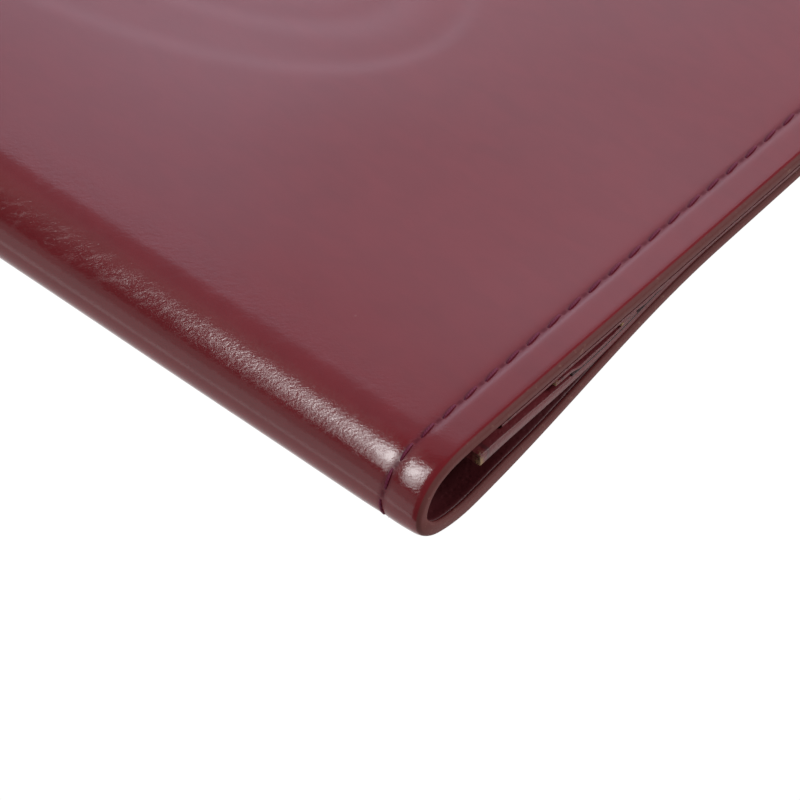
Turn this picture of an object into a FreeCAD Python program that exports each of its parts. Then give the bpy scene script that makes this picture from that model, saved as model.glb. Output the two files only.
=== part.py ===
"""Long bifold wallet of polished calf leather, closed: a cover that folds along its long side, with
stiffeners, linings, a note pocket, a receipt pocket and four rows of card pockets.

X runs along the fold, +Y from the fold to the open edge, +Z up.  The origin is the middle of the
footprint, on the surface that the closed wallet lies on.  Millimetres.

Distances called "from the fold" are measured along +Y from the outermost line of the fold.  The back
half is flat.  The front half comes down from the fold to the open edge in two planes, which meet at the
bend line.  "Depth" is measured inwards from the outer face of either half.

The fold is half a ring.  "Turn" is the angle round it, from 0 at the back half to 180 at the front
half.  It bends along three lines on its outer face, a third of the turn apart, and opens flat there.
"""

import FreeCAD, Part

import math
import os

import Sketcher

SIZES = [
    ("wallet_length", 190.0, "along the fold"),
    ("wallet_depth", 98.0, "from the outermost line of the fold to the open edge, closed"),
    ("fold_radius", 4.1, "outer radius of the fold; half of the height there"),
    ("bend_from_fold", 33.0, "where the two planes of the front half meet"),
    ("bend_height", 7.5, "outer face of the front half at the bend line"),
    ("edge_height", 5.9, "outer face of the front half at the open edge"),
    ("corner_radius", 4.0, "the two corners at the open edge"),
    ("bend_lines", 3.0, "lines of the fold along which it opens, evenly round it"),
    ("bend_gap_turn", 5.0, "degrees of the fold left free at each of those lines"),
    ("cover_thickness", 1.0, "polished outer leather"),
    ("board_thickness", 0.3, "stiffener between leather and lining"),
    ("lining_thickness", 0.45, "lining leather"),
    ("board_inset", 9.0, "stiffener's edge to the wallet's edge"),
    ("board_cover", 0.5, "lining formed over the stiffener reaches past it by this"),
    ("board_from_fold", 12.0, "where each stiffener starts"),
    ("seam_inset", 4.2, "stitch line to the edge"),
    ("seam_pitch", 3.1, "stitch to stitch"),
    ("stitch_length", 2.3, "thread that shows in one stitch"),
    ("thread_width", 0.5, "flattened thread"),
    ("thread_height", 0.2, "its thickness"),
    ("groove_width", 0.8, "pressed line that the stitches lie in"),
    ("groove_depth", 0.25, "depth of that line"),
    ("panel_trim", 0.3, "inner panels stop short of the cover's edge by this"),
    ("panel_leather", 0.3, "leather of the two large pocket panels"),
    ("panel_fabric", 0.15, "cloth lining of those panels"),
    ("pocket_gap", 0.1, "space left in an empty pocket"),
    ("hem_width", 5.0, "turned edge of a pocket panel on its three sewn sides"),
    ("note_mouth", 9.6, "mouth of the note pocket, from the fold"),
    ("front_mouth", 14.0, "mouth of the front half's pocket, from the fold"),
    ("receipt_mouth", 62.0, "mouth of the receipt pocket, from the fold"),
    ("receipt_thickness", 0.4, "leather of the receipt pocket"),
    ("backing_thickness", 0.15, "cloth behind the card pockets"),
    ("card_first_mouth", 22.0, "mouth of the first card pocket, from the fold"),
    ("card_step", 11.5, "mouth to mouth"),
    ("card_rows", 4.0, "rows of card pockets"),
    ("card_leather", 0.35, "leather of a card pocket"),
    ("card_slot", 0.1, "slot left for a card"),
    ("divider_thread_height", 0.08, "thread between the two columns of card pockets"),
    ("card_lap", 3.0, "length of a pocket's edge that laps the row before it"),
    ("card_ramp", 1.5, "length over which that edge comes down"),
    ("card_clear", 0.2, "a row ends this far before the ramp of the next"),
    ("card_end", 1.5, "last card pocket's end to the open edge"),
]


def make_sheet(doc):
    """The driving dimensions, one row each: name, value with its alias, and what it is."""
    sheet = doc.addObject("Spreadsheet::Sheet", "Sizes")
    for row, (alias, value, meaning) in enumerate(SIZES, start=1):
        sheet.set(f"A{row}", alias)
        sheet.set(f"B{row}", str(value))
        sheet.set(f"C{row}", meaning)
        sheet.setAlias(f"B{row}", alias)
    doc.recompute()
    return sheet


doc = FreeCAD.newDocument("long_wallet")
sizes = make_sheet(doc)
subparts = []


def size(alias):
    return float(sizes.get(alias))


def cell(alias):
    return f"Sizes.{alias}"


# ---- where the layers lie, as expressions on the sheet -------------------------------------------

BACK, FRONT = "back", "front"
FOLD_END = cell("fold_radius")
BEND = cell("bend_from_fold")
OPEN_EDGE = cell("wallet_depth")
COVER_IN = cell("cover_thickness")
LINING_IN = f"{COVER_IN} + {cell('lining_thickness')}"
BOARD_IN = f"{COVER_IN} + {cell('board_thickness')}"
POCKET_OUT = f"{BOARD_IN} + {cell('lining_thickness')} + {cell('pocket_gap')}"
PANEL_CLOTH_IN = f"{POCKET_OUT} + {cell('panel_fabric')}"
PANEL_IN = f"{PANEL_CLOTH_IN} + {cell('panel_leather')}"
CARD_BASE = f"{PANEL_IN} + {cell('backing_thickness')}"
CARD_TOP = f"{CARD_BASE} + {cell('card_leather')}"
LAP_BASE = f"{CARD_TOP} + {cell('card_slot')}"
LAP_TOP = f"{LAP_BASE} + {cell('card_leather')}"
FULL_WIDTH = cell("wallet_length")
PANEL_WIDTH = f"{FULL_WIDTH} - 2 * {cell('panel_trim')}"
BOARD_WIDTH = f"{FULL_WIDTH} - 2 * {cell('board_inset')}"
BOARD_END = f"{OPEN_EDGE} - {cell('board_inset')}"
POCKET_WIDTH = f"{PANEL_WIDTH} - 2 * {cell('hem_width')}"
HEM_START = f"{OPEN_EDGE} - {cell('hem_width')}"


def across(from_fold):
    """Y of a line that is this far from the fold."""
    return f"({from_fold}) - {OPEN_EDGE} / 2"


def front_face(from_fold, past_bend):
    """Z of the front half's outer face: one straight line before the bend, another after it."""
    fold_top = f"2 * {cell('fold_radius')}"
    if past_bend:
        fall = f"({cell('bend_height')} - {cell('edge_height')}) / ({OPEN_EDGE} - {BEND})"
        return f"{cell('bend_height')} - ({fall}) * (({from_fold}) - {BEND})"
    fall = f"({fold_top} - {cell('bend_height')}) / ({BEND} - {FOLD_END})"
    return f"{fold_top} - ({fall}) * (({from_fold}) - {FOLD_END})"


def layer_points(half, start, end, outer, inner):
    """Corners of a layer between two depths, in the YZ plane, as pairs of expressions."""
    if half == BACK:
        return [
            (across(start), outer),
            (across(end), outer),
            (across(end), inner),
            (across(start), inner),
        ]
    past = expression_value(start) >= size("bend_from_fold")
    stops = [(start, past)] + ([] if past else [(BEND, True)]) + [(end, True)]
    outside = [(across(v), f"{front_face(v, p)} - ({outer})") for v, p in stops]
    inside = [(across(v), f"{front_face(v, p)} - ({inner})") for v, p in stops]
    return outside + inside[::-1]


def expression_value(expression):
    """What an expression on the sheet comes to."""
    return float(sizes.evalExpression(expression.replace("Sizes.", "")))


# ---- features -------------------------------------------------------------------------------------


def new_body(label):
    body = doc.addObject("PartDesign::Body", label)
    body.Label = label
    subparts.append(body)
    return body


def plane(body, role):
    return next(f for f in body.Origin.OriginFeatures if f.Role == role)


def outline_sketch(body, name, points):
    """A closed outline of straight lines, each corner held at its two expressions."""
    sketch = body.newObject("Sketcher::SketchObject", name)
    sketch.AttachmentSupport = (plane(body, "YZ_Plane"), [""])
    sketch.MapMode = "FlatFace"
    places = [FreeCAD.Vector(expression_value(a), expression_value(b), 0) for a, b in points]
    count = len(places)
    for i, place in enumerate(places):
        sketch.addGeometry(Part.LineSegment(place, places[(i + 1) % count]))
    for i in range(count):
        sketch.addConstraint(Sketcher.Constraint("Coincident", i, 2, (i + 1) % count, 1))
    for i, (a, b) in enumerate(points):
        for kind, value, expression in (
            ("DistanceX", places[i].x, a),
            ("DistanceY", places[i].y, b),
        ):
            number = sketch.addConstraint(Sketcher.Constraint(kind, -1, 1, i, 1, value))
            sketch.setExpression(f"Constraints[{number}]", expression)
    return sketch


def sector_sketch(body, name, outer_depth, inner_depth, start_turn, end_turn):
    """A piece of the fold's ring between two depths and two turns, seen along X."""
    sketch = body.newObject("Sketcher::SketchObject", name)
    sketch.AttachmentSupport = (plane(body, "YZ_Plane"), [""])
    sketch.MapMode = "FlatFace"
    centre = FreeCAD.Vector(expression_value(across(FOLD_END)), size("fold_radius"), 0)
    radii = [f"{FOLD_END} - ({outer_depth})", f"{FOLD_END} - ({inner_depth})"]
    angles = [math.radians(270 - end_turn), math.radians(270 - start_turn)]
    spokes = [FreeCAD.Vector(math.cos(a), math.sin(a), 0) for a in angles]
    for radius in radii:
        circle = Part.Circle(centre, FreeCAD.Vector(0, 0, 1), expression_value(radius))
        sketch.addGeometry(Part.ArcOfCircle(circle, *angles))
    for spoke in spokes:
        far, near = (centre + spoke * expression_value(radius) for radius in radii)
        sketch.addGeometry(Part.LineSegment(near, far))
    outer, inner, first, last = range(4)
    for line, end in ((first, 1), (last, 2)):
        sketch.addConstraint(Sketcher.Constraint("Coincident", line, 2, outer, end))
        sketch.addConstraint(Sketcher.Constraint("Coincident", line, 1, inner, end))
    sketch.addConstraint(Sketcher.Constraint("Coincident", outer, 3, inner, 3))
    held = [("DistanceX", (-1, 1, outer, 3), centre.x, across(FOLD_END))]
    held += [("DistanceY", (-1, 1, outer, 3), centre.y, FOLD_END)]
    held += [("Radius", (arc,), expression_value(radii[arc]), radii[arc]) for arc in (outer, inner)]
    for kind, where, value, expression in held:
        number = sketch.addConstraint(Sketcher.Constraint(kind, *where, value))
        sketch.setExpression(f"Constraints[{number}]", expression)
    return sketch


def sweep_across(body, kind, name, sketch, width):
    """Pads or pockets a sketch in the YZ plane by equal amounts to +X and -X."""
    before = body.Tip.Shape.Volume if body.Tip else 0
    feature = body.newObject(f"PartDesign::{kind}", name)
    feature.Profile = sketch
    feature.SideType = "Symmetric"
    feature.setExpression("Length", width)
    feature.Refine = True
    body.Tip = feature
    doc.recompute()
    if (feature.Shape.Volume > before) != (kind == "Pad"):
        raise ValueError(f"{name} changed nothing")
    return feature


def sweep_layer(body, kind, name, layer, width):
    """Sweeps one layer of a half across the wallet."""
    points = layer_points(*layer)
    return sweep_across(body, kind, name, outline_sketch(body, f"{name}_outline", points), width)


def sweep_sector(body, kind, name, sector, width):
    """Sweeps one piece of the fold's ring across the wallet."""
    sketch = sector_sketch(body, f"{name}_outline", *sector)
    return sweep_across(body, kind, name, sketch, width)


def round_corners(body):
    """Rounds the two corners at the open edge, through the thickness."""
    tip = body.Tip
    radius = size("corner_radius")
    furthest = tip.Shape.BoundBox.YMax
    names = []
    for number, edge in enumerate(tip.Shape.Edges, start=1):
        ends = [v.Point for v in edge.Vertexes]
        if len(ends) < 2:
            continue
        upright = (ends[0] - ends[1]).normalize().z ** 2 > 0.9
        at_edge = min(p.y for p in ends) > furthest - 0.01
        at_side = min(abs(p.x) for p in ends) > tip.Shape.BoundBox.XMax - 0.01
        if upright and at_edge and at_side:
            names.append(f"Edge{number}")
    fillet = body.newObject("PartDesign::Fillet", f"{body.Label}_corners")
    fillet.Base = (tip, names)
    fillet.Radius = radius
    fillet.setExpression("Radius", cell("corner_radius"))
    body.Tip = fillet
    doc.recompute()
    return fillet


# ---- the fold's turns ------------------------------------------------------------------------------


def bend_turns():
    """The turn of each line that the fold bends along."""
    step = 180 / size("bend_lines")
    return [step * (i + 0.5) for i in range(int(size("bend_lines")))]


def ring_turns():
    """First and last turn of each rigid stretch of the ring, with the bend lines left free."""
    half_gap = size("bend_gap_turn") / 2
    lines = bend_turns()
    starts = [0] + [turn + half_gap for turn in lines]
    ends = [turn - half_gap for turn in lines] + [180]
    return list(zip(starts, ends))


def half_turns(half):
    """The stretch of the ring that belongs to a half."""
    return ring_turns()[0 if half == BACK else -1]


# ---- covers, stiffeners and linings ---------------------------------------------------------------


def press_groove(body, name, sweep, stretches):
    """Presses the stitch line into an outer face: a wide cut, and the leather inside it put back."""
    half_groove = f"{cell('groove_width')} / 2"
    for kind, part, inset in (
        ("Pocket", "groove", f"{cell('seam_inset')} - {half_groove}"),
        ("Pad", "island", f"{cell('seam_inset')} + {half_groove}"),
    ):
        sweep(body, kind, f"{name}_{part}", stretches(inset), f"{FULL_WIDTH} - 2 * ({inset})")


def make_cover_leather(half):
    """Polished outer leather of one half, with its share of the fold."""
    body = new_body(f"{half}_cover_leather")
    turns = half_turns(half)
    sheet = (half, FOLD_END, OPEN_EDGE, "0", COVER_IN)
    sweep_layer(body, "Pad", f"{half}_leather", sheet, FULL_WIDTH)
    curl = ("0", COVER_IN, *turns)
    sweep_sector(body, "Pad", f"{half}_leather_curl", curl, FULL_WIDTH)
    groove = cell("groove_depth")
    press_groove(
        body,
        f"{half}_flat",
        sweep_layer,
        lambda inset: (half, FOLD_END, f"{OPEN_EDGE} - ({inset})", "0", groove),
    )
    press_groove(body, f"{half}_curl", sweep_sector, lambda inset: ("0", groove, *turns))
    round_corners(body)


def make_stiffener(half):
    """Thin board glued between the leather and the lining, short of every seam."""
    body = new_body(f"{half}_stiffener")
    board = (half, cell("board_from_fold"), BOARD_END, COVER_IN, BOARD_IN)
    sweep_layer(body, "Pad", f"{half}_board", board, BOARD_WIDTH)
    round_corners(body)


def make_lining(half):
    """Lining glued to the leather round the edge and formed over the stiffener."""
    body = new_body(f"{half}_lining")
    board = (half, cell("board_from_fold"), BOARD_END)
    raised_in = f"{BOARD_IN} + {cell('lining_thickness')}"
    sheet = (half, FOLD_END, OPEN_EDGE, COVER_IN, LINING_IN)
    sweep_layer(body, "Pad", f"{half}_lining_sheet", sheet, FULL_WIDTH)
    round_corners(body)
    curl = (COVER_IN, LINING_IN, *half_turns(half))
    sweep_sector(body, "Pad", f"{half}_lining_curl", curl, FULL_WIDTH)
    formed_width = f"{BOARD_WIDTH} + 2 * {cell('board_cover')}"
    sweep_layer(
        body, "Pad", f"{half}_lining_formed", (*board, COVER_IN, raised_in), formed_width
    )
    sweep_layer(body, "Pocket", f"{half}_board_space", (*board, COVER_IN, BOARD_IN), BOARD_WIDTH)


# ---- the fold -------------------------------------------------------------------------------------


def make_spine_leather(place, turns):
    """The outer leather of one stretch of the fold."""
    body = new_body(f"{place}_spine_leather")
    sweep_sector(body, "Pad", f"{place}_fold_leather", ("0", COVER_IN, *turns), FULL_WIDTH)
    groove = cell("groove_depth")
    press_groove(body, f"{place}_fold", sweep_sector, lambda inset: ("0", groove, *turns))


def make_spine_lining(place, turns):
    """The lining of one stretch of the fold."""
    body = new_body(f"{place}_spine_lining")
    sector = (COVER_IN, LINING_IN, *turns)
    sweep_sector(body, "Pad", f"{place}_fold_lining", sector, FULL_WIDTH)


# ---- pockets --------------------------------------------------------------------------------------


def make_pocket_panel(half, label, mouth):
    """A large pocket: a leather panel sewn on three sides, whose turned hem leaves room behind it."""
    body = new_body(label)
    whole = (half, mouth, OPEN_EDGE, LINING_IN, PANEL_IN)
    sweep_layer(body, "Pad", f"{label}_sheet", whole, PANEL_WIDTH)
    round_corners(body)
    behind = (half, mouth, HEM_START, LINING_IN, PANEL_CLOTH_IN)
    sweep_layer(body, "Pocket", f"{label}_space", behind, POCKET_WIDTH)


def make_panel_lining(half, label, mouth):
    """Cloth glued behind a pocket panel, inside its hem."""
    body = new_body(label)
    cloth = (half, mouth, HEM_START, POCKET_OUT, PANEL_CLOTH_IN)
    sweep_layer(body, "Pad", f"{label}_sheet", cloth, POCKET_WIDTH)


def make_receipt_pocket():
    """A short pocket on the front half's panel."""
    body = new_body("receipt_pocket")
    inner = f"{PANEL_IN} + {cell('receipt_thickness')}"
    panel = (FRONT, cell("receipt_mouth"), OPEN_EDGE, PANEL_IN, inner)
    sweep_layer(body, "Pad", "receipt_sheet", panel, PANEL_WIDTH)
    round_corners(body)


def make_card_backing():
    """One cloth behind all the card pockets."""
    body = new_body("card_pocket_backing")
    start = f"{cell('card_first_mouth')} + {cell('card_lap')}"
    end = f"{OPEN_EDGE} - {cell('card_end')}"
    cloth = (BACK, start, end, PANEL_IN, CARD_BASE)
    sweep_layer(body, "Pad", "backing_sheet", cloth, PANEL_WIDTH)


def make_card_pocket(row, last):
    """One row: an edge that laps the row before it, a short ramp, and a flat part behind the next."""
    body = new_body(f"card_pocket_{row}")
    mouth = f"{cell('card_first_mouth')} + {row - 1} * {cell('card_step')}"
    lap = f"{mouth} + {cell('card_lap')}"
    down = f"{lap} + {cell('card_ramp')}"
    if last:
        end = f"{OPEN_EDGE} - {cell('card_end')}"
    else:
        end = f"{lap} + {cell('card_step')} - {cell('card_clear')}"
    points = [
        (across(mouth), LAP_BASE),
        (across(lap), LAP_BASE),
        (across(down), CARD_BASE),
        (across(end), CARD_BASE),
        (across(end), CARD_TOP),
        (across(down), CARD_TOP),
        (across(lap), LAP_TOP),
        (across(mouth), LAP_TOP),
    ]
    sketch = outline_sketch(body, f"card_outline_{row}", points)
    sweep_across(body, "Pad", f"card_sheet_{row}", sketch, PANEL_WIDTH)


# ---- thread ---------------------------------------------------------------------------------------


def stitch(start, end, inwards, height):
    """A flat length of thread between two points of a face, lying in its pressed line."""
    along = end - start
    bar = Part.makeBox(along.Length, size("thread_width"), height)
    bar.translate(FreeCAD.Vector(0, -size("thread_width") / 2, 0))
    x_axis = FreeCAD.Vector(along).normalize()
    z_axis = (inwards - x_axis * inwards.dot(x_axis)).normalize()
    y_axis = z_axis.cross(x_axis)
    rotation = FreeCAD.Rotation(x_axis, y_axis, z_axis, "XYZ")
    bar.transformShape(FreeCAD.Placement(start, rotation).toMatrix())
    return bar


def thread_node(label, stitches):
    node = doc.addObject("Part::Feature", label)
    node.Label = label
    node.Shape = Part.makeCompound(stitches)
    subparts.append(node)


def spaced(length):
    """Start and end of each stitch along a run of this length, evenly spread."""
    count = round(length / size("seam_pitch"))
    pitch = length / count
    margin = (pitch - size("stitch_length")) / 2
    return [(i * pitch + margin, (i + 1) * pitch - margin) for i in range(count)]


def outer_point(half, x, from_fold):
    """A point of either half's outer face."""
    y = from_fold - size("wallet_depth") / 2
    if half == BACK:
        return FreeCAD.Vector(x, y, 0)
    past = from_fold >= size("bend_from_fold")
    return FreeCAD.Vector(x, y, expression_value(front_face(f"{from_fold:.4f}", past)))


def seam_x():
    """The side seams' distance from the middle."""
    return size("wallet_length") / 2 - size("seam_inset")


def make_seam_thread(half):
    """Stitches of one half: along both short sides and the open edge."""
    inwards = FreeCAD.Vector(0, 0, 1 if half == BACK else -1)
    start, bend = size("fold_radius"), size("bend_from_fold")
    end = size("wallet_depth") - size("seam_inset")
    height = size("thread_height")
    stitches = []
    for x in (-seam_x(), seam_x()):
        for low, high in ((start, bend), (bend, end)):
            for a, b in spaced(high - low):
                p, q = outer_point(half, x, low + a), outer_point(half, x, low + b)
                stitches.append(stitch(p, q, inwards, height))
    for a, b in spaced(2 * seam_x()):
        p, q = outer_point(half, a - seam_x(), end), outer_point(half, b - seam_x(), end)
        stitches.append(stitch(p, q, inwards, height))
    thread_node(f"{half}_seam_thread", stitches)


def ring_point(radius, turn):
    """A point of the plane X = 0 at this radius and turn about the fold's axis."""
    angle = math.radians(turn)
    axis_y = size("fold_radius") - size("wallet_depth") / 2
    y = axis_y - radius * math.sin(angle)
    return FreeCAD.Vector(0, y, size("fold_radius") - radius * math.cos(angle))


def curved_stitch(x, start_turn, end_turn):
    """A length of thread that follows the fold's ring."""
    outer = size("fold_radius")
    inner = outer - size("thread_height")
    middle_turn = (start_turn + end_turn) / 2
    arcs = [
        Part.Arc(*(ring_point(radius, turn) for turn in (start_turn, middle_turn, end_turn)))
        for radius in (outer, inner)
    ]
    ends = [
        Part.LineSegment(ring_point(outer, turn), ring_point(inner, turn))
        for turn in (start_turn, end_turn)
    ]
    outline = Part.Wire(Part.__sortEdges__([curve.toShape() for curve in arcs + ends]))
    thread = Part.Face(outline).extrude(FreeCAD.Vector(size("thread_width"), 0, 0))
    thread.translate(FreeCAD.Vector(x - size("thread_width") / 2, 0, 0))
    return thread


def make_spine_thread(place, turns):
    """Stitches that carry each side seam round one stretch of the fold."""
    radius = size("fold_radius")
    start, end = (math.radians(turn) * radius for turn in turns)
    stitches = []
    for x in (-seam_x(), seam_x()):
        for a, b in spaced(end - start):
            first, last = (math.degrees((start + arc) / radius) for arc in (a, b))
            stitches.append(curved_stitch(x, first, last))
    thread_node(f"{place}_spine_thread", stitches)


def make_divider_thread():
    """The line of stitches that parts the card pockets into two columns."""
    height = size("divider_thread_height")
    mouth, step = size("card_first_mouth"), size("card_step")
    rows = int(size("card_rows"))
    top = expression_value(CARD_TOP)
    stitches = []
    for row in range(rows):
        start = mouth + row * step + size("card_lap") + size("card_ramp")
        end = mouth + (row + 1) * step - size("card_clear")
        if row == rows - 1:
            end = size("wallet_depth") - size("seam_inset")
        for a, b in spaced(end - start):
            p, q = (
                FreeCAD.Vector(0, start + s - size("wallet_depth") / 2, top) for s in (a, b)
            )
            stitches.append(stitch(p, q, FreeCAD.Vector(0, 0, 1), height))
    thread_node("card_divider_thread", stitches)


# ---- the wallet -----------------------------------------------------------------------------------


def build():
    for half in (BACK, FRONT):
        make_cover_leather(half)
        make_stiffener(half)
        make_lining(half)
        make_seam_thread(half)
    for place, turns in zip(("lower", "upper"), ring_turns()[1:-1]):
        make_spine_leather(place, turns)
        make_spine_lining(place, turns)
        make_spine_thread(place, turns)
    make_pocket_panel(BACK, "note_pocket_panel", cell("note_mouth"))
    make_panel_lining(BACK, "note_pocket_lining", cell("note_mouth"))
    make_pocket_panel(FRONT, "front_pocket_panel", cell("front_mouth"))
    make_panel_lining(FRONT, "front_pocket_lining", cell("front_mouth"))
    make_receipt_pocket()
    make_card_backing()
    rows = int(size("card_rows"))
    for row in range(1, rows + 1):
        make_card_pocket(row, row == rows)
    make_divider_thread()
    doc.recompute()


def check_and_export():
    """Stops on any failed object or bad shape, then writes one STEP file for each piece."""
    for item in doc.Objects:
        if "Invalid" in item.State or "Error" in item.State:
            raise ValueError(f"{item.Label} failed: {item.State}")
    for piece in subparts:
        shape = piece.Shape
        if shape.isNull() or not shape.isValid() or not shape.Solids:
            raise ValueError(f"{piece.Label} has no valid solid")
    os.makedirs("parts", exist_ok=True)
    for piece in subparts:
        piece.Shape.exportStep(f"parts/{piece.Label}.step")
        box = piece.Shape.BoundBox
        print(
            f"{piece.Label}: {len(piece.Shape.Solids)} solid(s), {piece.Shape.Volume:.0f} mm3, "
            f"y {box.YMin:.2f} to {box.YMax:.2f}, z {box.ZMin:.2f} to {box.ZMax:.2f}"
        )


build()
check_and_export()
for line_turn in bend_turns():
    place = ring_point(size("fold_radius"), line_turn)
    print(f"bend line at turn {line_turn:.0f}: y {place.y:.3f}, z {place.z:.3f}")
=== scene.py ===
"""A closed long wallet of polished burgundy calf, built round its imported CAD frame.

Lengths inside the shape functions are millimetres; Blender gets metres. A place on the cover is given by
x along the fold, s along the cover's outer face from the tip of the fold (below 0 on the back half, above
0 on the front half), and a height above that face.
"""

import math
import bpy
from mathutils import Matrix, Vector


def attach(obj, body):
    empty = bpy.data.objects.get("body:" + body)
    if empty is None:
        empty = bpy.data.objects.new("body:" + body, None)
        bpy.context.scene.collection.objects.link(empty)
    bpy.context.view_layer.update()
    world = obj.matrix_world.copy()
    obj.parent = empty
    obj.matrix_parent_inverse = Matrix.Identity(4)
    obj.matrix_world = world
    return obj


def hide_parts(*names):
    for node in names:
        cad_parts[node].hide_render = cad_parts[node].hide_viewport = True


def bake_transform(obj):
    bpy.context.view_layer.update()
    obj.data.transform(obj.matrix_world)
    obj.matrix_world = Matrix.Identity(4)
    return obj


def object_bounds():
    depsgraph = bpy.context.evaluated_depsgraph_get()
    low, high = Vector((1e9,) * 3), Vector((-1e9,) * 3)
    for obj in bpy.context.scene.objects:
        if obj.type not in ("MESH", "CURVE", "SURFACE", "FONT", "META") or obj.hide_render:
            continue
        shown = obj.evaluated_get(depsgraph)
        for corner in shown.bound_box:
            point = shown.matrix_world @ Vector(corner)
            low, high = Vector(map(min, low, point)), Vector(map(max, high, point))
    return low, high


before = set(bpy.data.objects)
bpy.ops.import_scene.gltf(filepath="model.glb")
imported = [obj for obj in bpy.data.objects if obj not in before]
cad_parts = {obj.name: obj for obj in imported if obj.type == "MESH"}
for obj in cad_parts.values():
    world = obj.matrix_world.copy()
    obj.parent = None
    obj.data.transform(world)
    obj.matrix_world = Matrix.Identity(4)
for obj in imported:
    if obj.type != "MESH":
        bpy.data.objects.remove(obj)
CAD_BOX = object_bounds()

from types import SimpleNamespace

import bpy
import numpy as np
from bpy.props import FloatProperty, FloatVectorProperty, PointerProperty
from mathutils import Matrix, Vector

bl_info = {
    "name": "Long wallet",
    "version": (1, 0, 0),
    "blender": (4, 5, 0),
    "location": "View3D > Sidebar > Wallet",
    "description": "Builds a folded leather long wallet with its linings, pockets and seams",
    "category": "Add Mesh",
}

MM = 0.001
HALF_LENGTH = CAD_BOX[1].x / MM
OPEN_EDGE_Y = CAD_BOX[1].y / MM
DEPTH = (CAD_BOX[1].y - CAD_BOX[0].y) / MM
FOLD_HEIGHT = CAD_BOX[1].z / MM
EDGE_HEIGHT = 5.9
BACK, FOLD, FRONT = -1, 0, 1
OVAL_MIDDLE = 50.0
OVAL_RING = 8
RIM_OVERLAP = 0.58
BLEND_REACH = 7.2


def length(name, description, default):
    """A length that a user may change, kept in metres."""
    return FloatProperty(name=name, description=description, default=default * MM, unit="LENGTH",
                         precision=5)


def colour(name, description, default):
    """A colour that a user may change, as linear red, green and blue."""
    return FloatVectorProperty(name=name, description=description, default=default, subtype="COLOR",
                               size=3, min=0.0, max=1.0)


class WalletSizes(bpy.types.PropertyGroup):
    fold_reach: length("Fold reach", "How far the bend of the fold reaches into each half", 8.0)
    cover: length("Cover leather", "Thickness of the polished leather", 1.0)
    lining: length("Lining leather", "Thickness of the lining", 0.45)
    board: length("Board", "Thickness of the stiffener in each half", 0.3)
    rim_width: length("Rim width", "How far in from the edge the cover starts to round off", 1.0)
    corner: length("Corner radius", "Radius of the two corners at the open edge", 4.0)
    seam_inset: length("Seam inset", "Stitch line to the edge", 4.2)
    pitch: length("Stitch pitch", "One stitch to the next", 3.1)
    stitch: length("Stitch length", "Thread that shows in one stitch", 2.6)
    thread: length("Thread width", "Width of the flattened thread", 0.31)
    groove: length("Groove depth", "Depth of the line that the stitches pull into the leather", 0.07)
    bulge: length("Bulge", "How far the lower side of the fold has slid along the fold", 1.1)
    askew: length("Askew", "How far the back half lies out of line with the lower side of the fold", 2.9)
    flare: length("Flare", "How far the ends of the fold spread past the short sides", 0.35)
    gape: length("Gape", "How far the mouth of the note pocket stands off", 3.9)
    panel_trim: length("Panel trim", "Inner panels stop short of the cover's edge by this", 0.3)
    oval_x: length("Oval length", "Half of the pressed oval's length", 57.2)
    oval_y: length("Oval width", "Half of the pressed oval's width", 25.5)


class WalletColours(bpy.types.PropertyGroup):
    leather: colour("Leather", "Polished burgundy leather", (0.160, 0.0115, 0.0164))
    leather_deep: colour("Leather, deep", "Where the dye lies thicker", (0.135, 0.0096, 0.0140))
    rim: colour("Painted edge", "Edge paint on the cover's rim", (0.105, 0.030, 0.028))
    lining: colour("Lining", "Satin lining leather", (0.070, 0.008, 0.011))
    pocket: colour("Pocket", "Leather of the pockets", (0.120, 0.012, 0.017))
    worn: colour("Worn edge", "Bare tan leather at worn pocket ends", (0.24, 0.15, 0.055))
    cloth: colour("Cloth", "Cloth behind the pockets", (0.050, 0.010, 0.013))
    board: colour("Board", "Fibre board", (0.25, 0.19, 0.13))
    thread: colour("Thread", "Waxed seam thread", (0.140, 0.014, 0.042))
    floor: colour("Floor", "Pale floor", (1.0, 1.0, 1.0))


def sizes():
    """The scene's sizes in millimetres."""
    group = bpy.context.scene.wallet_sizes
    return SimpleNamespace(**{name: getattr(group, name) / MM for name in WalletSizes.__annotations__})


def colours():
    """The scene's colours."""
    return bpy.context.scene.wallet_colours


# ---- the cover's outer face ------------------------------------------------------------------------


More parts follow.
